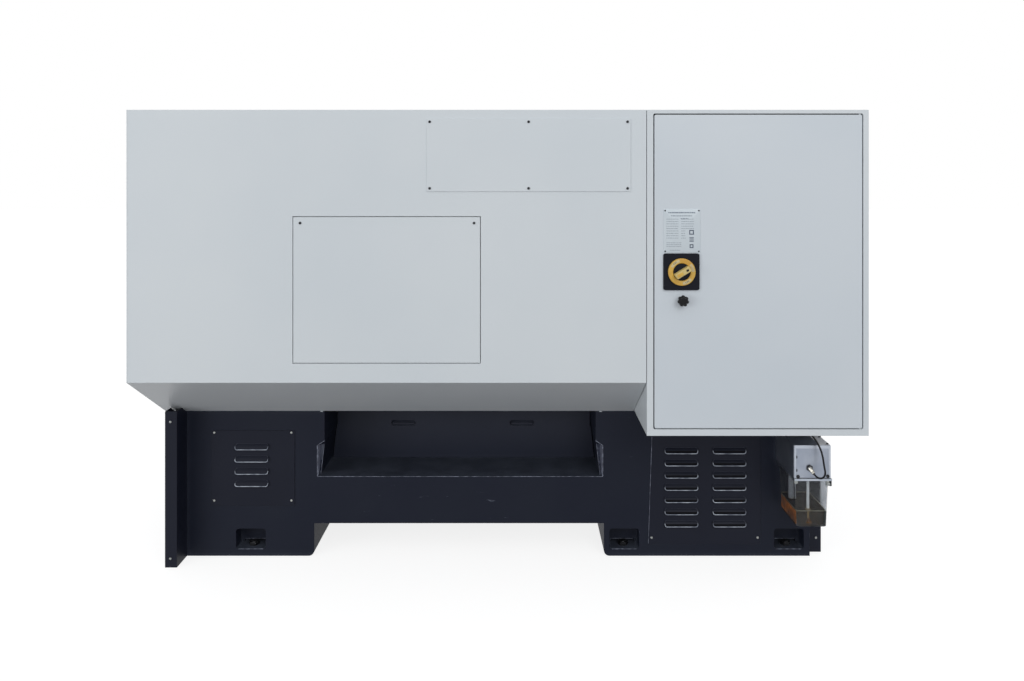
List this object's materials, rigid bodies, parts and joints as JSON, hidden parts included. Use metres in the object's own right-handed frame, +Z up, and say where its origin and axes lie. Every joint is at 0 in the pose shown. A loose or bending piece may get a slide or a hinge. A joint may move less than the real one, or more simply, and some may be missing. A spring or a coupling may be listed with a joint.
{
  "type": "cnc turning lathe",
  "caption": "Flat-bed turning lathe in a sheet-metal guard on a cast base, with rear electrical cabinet, sliding door, spindle and chuck, carriage, tailstock and swinging control pendant.",
  "frame": {"origin": "on the floor, under the middle of the machine", "axes": "+X towards the tailstock end, +Y towards the rear with the cabinet, +Z up; the operator stands on the -Y side"},
  "size_m": [2.6, 1.62, 1.71],
  "materials": {
    "white_paint": "satin powder coat",
    "dark_paint": "textured paint on cast iron and sheet",
    "cast_iron": "scraped and ground ways",
    "steel": "ground steel",
    "zinc_steel": "zinc-plated screws",
    "black_plastic": "moulded",
    "yellow_plastic": "moulded",
    "gold_plastic": "moulded",
    "red_plastic": "moulded",
    "aluminium": "cast and milled",
    "clear_plastic": "clear moulding",
    "window_glass": "laminated pane",
    "white_plastic": "tube",
    "black_rubber": "cable sheath and belt",
    "grey_plastic": "housings",
    "tank_paint": "dark sheet"
  },
  "bodies": {
    "frame": {"base_casting": "dark_paint", "levelling_bolts": "steel", "motor_cover": "dark_paint", "vent_cover": "dark_paint", "tailstock_end_cover": "dark_paint", "headstock_end_cover": "dark_paint", "front_lower_cover": "dark_paint", "chip_tray": "dark_paint", "cover_screws": "zinc_steel", "rear_cover": "white_paint", "lower_access_panel": "white_paint", "upper_access_panel": "white_paint", "tailstock_side_panel": "white_paint", "headstock_side_panel": "white_paint", "roof_panel": "white_paint", "front_frame": "white_paint", "splash_guard": "white_paint", "cabinet_body": "white_paint", "control_gear": "grey_plastic", "pendant_column": "white_paint", "bed": "cast_iron", "headstock_casting": "cast_iron", "spindle_bearings": "steel", "drive_belt": "black_rubber", "main_motor": "grey_plastic", "z_drive": "black_plastic", "lube_housing": "aluminium", "lube_tank": "clear_plastic", "lube_tubes": "white_plastic", "lube_connector": "steel", "lube_cable": "black_rubber"},
    "cabinet_door": {"cabinet_door": "white_paint", "switch_plate": "black_plastic", "switch_ring": "yellow_plastic"},
    "switch_handle": {"switch_handle": "gold_plastic"},
    "door_knob": {"door_knob": "black_plastic"},
    "coolant_tank": {"coolant_tank": "tank_paint", "coolant_pump": "grey_plastic"},
    "front_door": {"front_door": "white_paint", "door_window": "window_glass", "front_door_handle": "steel"},
    "spindle": {"spindle": "steel", "spindle_pulley": "cast_iron", "chuck_body": "steel"},
    "jaw_1": {"jaw_1": "steel"},
    "jaw_2": {"jaw_2": "steel"},
    "jaw_3": {"jaw_3": "steel"},
    "motor_rotor": {"motor_rotor": "steel"},
    "z_screw": {"z_screw": "steel"},
    "carriage": {"carriage": "cast_iron", "x_servo": "black_plastic"},
    "cross_slide": {"cross_slide": "cast_iron"},
    "toolpost": {"toolpost": "steel"},
    "tailstock": {"tailstock": "cast_iron"},
    "tailstock_handwheel": {"tailstock_handwheel": "steel"},
    "quill": {"quill": "steel"},
    "live_centre": {"live_centre": "steel"},
    "pendant": {"pendant_box": "white_paint"},
    "estop": {"estop": "red_plastic"},
    "mpg_dial": {"mpg_dial": "black_plastic"}
  },
  "joints": [
    {"name": "cabinet_door_hinge", "type": "hinge", "parent": "frame", "child": "cabinet_door", "pos_m": [-1.271, 0.759, 1.14], "axis": [0, 0, 1], "range_deg": [0, 110]},
    {"name": "main_switch_turn", "type": "hinge", "parent": "cabinet_door", "child": "switch_handle", "pos_m": [-0.643, 0.771, 1.143], "axis": [0, 1, 0], "range_deg": [-31.6, 58.4]},
    {"name": "door_knob_turn", "type": "hinge", "parent": "cabinet_door", "child": "door_knob", "pos_m": [-0.6455, 0.765, 1.044], "axis": [0, -1, 0], "range_deg": [0, 90]},
    {"name": "coolant_tank_slide", "type": "slide", "parent": "frame", "child": "coolant_tank", "axis": [0, 1, 0], "range_m": [0, 0.45]},
    {"name": "front_door_slide", "type": "slide", "parent": "frame", "child": "front_door", "axis": [1, 0, 0], "range_m": [0, 0.66]},
    {"name": "spindle_spin", "type": "hinge", "parent": "frame", "child": "spindle", "pos_m": [0, 0.1, 1.07], "axis": [1, 0, 0], "continuous": true},
    {"name": "jaw_1_slide", "type": "slide", "parent": "spindle", "child": "jaw_1", "axis": [0, 0, 1], "range_m": [-0.02, 0.013]},
    {"name": "jaw_2_slide", "type": "slide", "parent": "spindle", "child": "jaw_2", "axis": [0, -0.866, -0.5], "range_m": [-0.02, 0.013]},
    {"name": "jaw_3_slide", "type": "slide", "parent": "spindle", "child": "jaw_3", "axis": [0, 0.866, -0.5], "range_m": [-0.02, 0.013]},
    {"name": "motor_spin", "type": "hinge", "parent": "frame", "child": "motor_rotor", "pos_m": [0, 0.1, 0.214], "axis": [1, 0, 0], "continuous": true},
    {"name": "z_screw_spin", "type": "hinge", "parent": "frame", "child": "z_screw", "pos_m": [0, -0.118, 0.735], "axis": [1, 0, 0], "range_deg": [-6661, 14401]},
    {"name": "carriage_slide", "type": "slide", "parent": "frame", "child": "carriage", "axis": [1, 0, 0], "range_m": [-0.185, 0.4]},
    {"name": "cross_feed_slide", "type": "slide", "parent": "carriage", "child": "cross_slide", "axis": [0, 1, 0], "range_m": [-0.09, 0.06]},
    {"name": "toolpost_index", "type": "hinge", "parent": "cross_slide", "child": "toolpost", "pos_m": [0, -0.05, 1], "axis": [0, 0, 1], "range_deg": [-180, 180]},
    {"name": "tailstock_slide", "type": "slide", "parent": "frame", "child": "tailstock", "axis": [1, 0, 0], "range_m": [-0.15, 0]},
    {"name": "tailstock_handwheel_spin", "type": "hinge", "parent": "tailstock", "child": "tailstock_handwheel", "pos_m": [0, 0.1, 1.07], "axis": [1, 0, 0], "range_deg": [-7201, 1]},
    {"name": "quill_slide", "type": "slide", "parent": "tailstock", "child": "quill", "axis": [1, 0, 0], "range_m": [-0.1, 0]},
    {"name": "live_centre_spin", "type": "hinge", "parent": "quill", "child": "live_centre", "pos_m": [0, 0.1, 1.07], "axis": [1, 0, 0], "continuous": true},
    {"name": "pendant_swing", "type": "hinge", "parent": "frame", "child": "pendant", "pos_m": [1.266, -0.74, 1.2], "axis": [0, 0, 1], "range_deg": [0, 75]},
    {"name": "estop_press", "type": "slide", "parent": "pendant", "child": "estop", "axis": [0, 1, 0], "range_m": [0, 0.004], "stiffness_N_per_m": 800, "springref_m": -0.002},
    {"name": "mpg_dial_spin", "type": "hinge", "parent": "pendant", "child": "mpg_dial", "pos_m": [0.97, -0.79, 1.0103], "axis": [0, -1, 0], "continuous": true}
  ],
  "couplings": [
    {"joint": "jaw_2_slide", "follows": "jaw_1_slide", "ratio": 1},
    {"joint": "jaw_3_slide", "follows": "jaw_1_slide", "ratio": 1},
    {"joint": "motor_spin", "follows": "spindle_spin", "ratio": 1.4},
    {"joint": "z_screw_spin", "follows": "carriage_slide", "rad_per_m": 628.32},
    {"joint": "tailstock_handwheel_spin", "follows": "quill_slide", "rad_per_m": 1256.6}
  ]
}
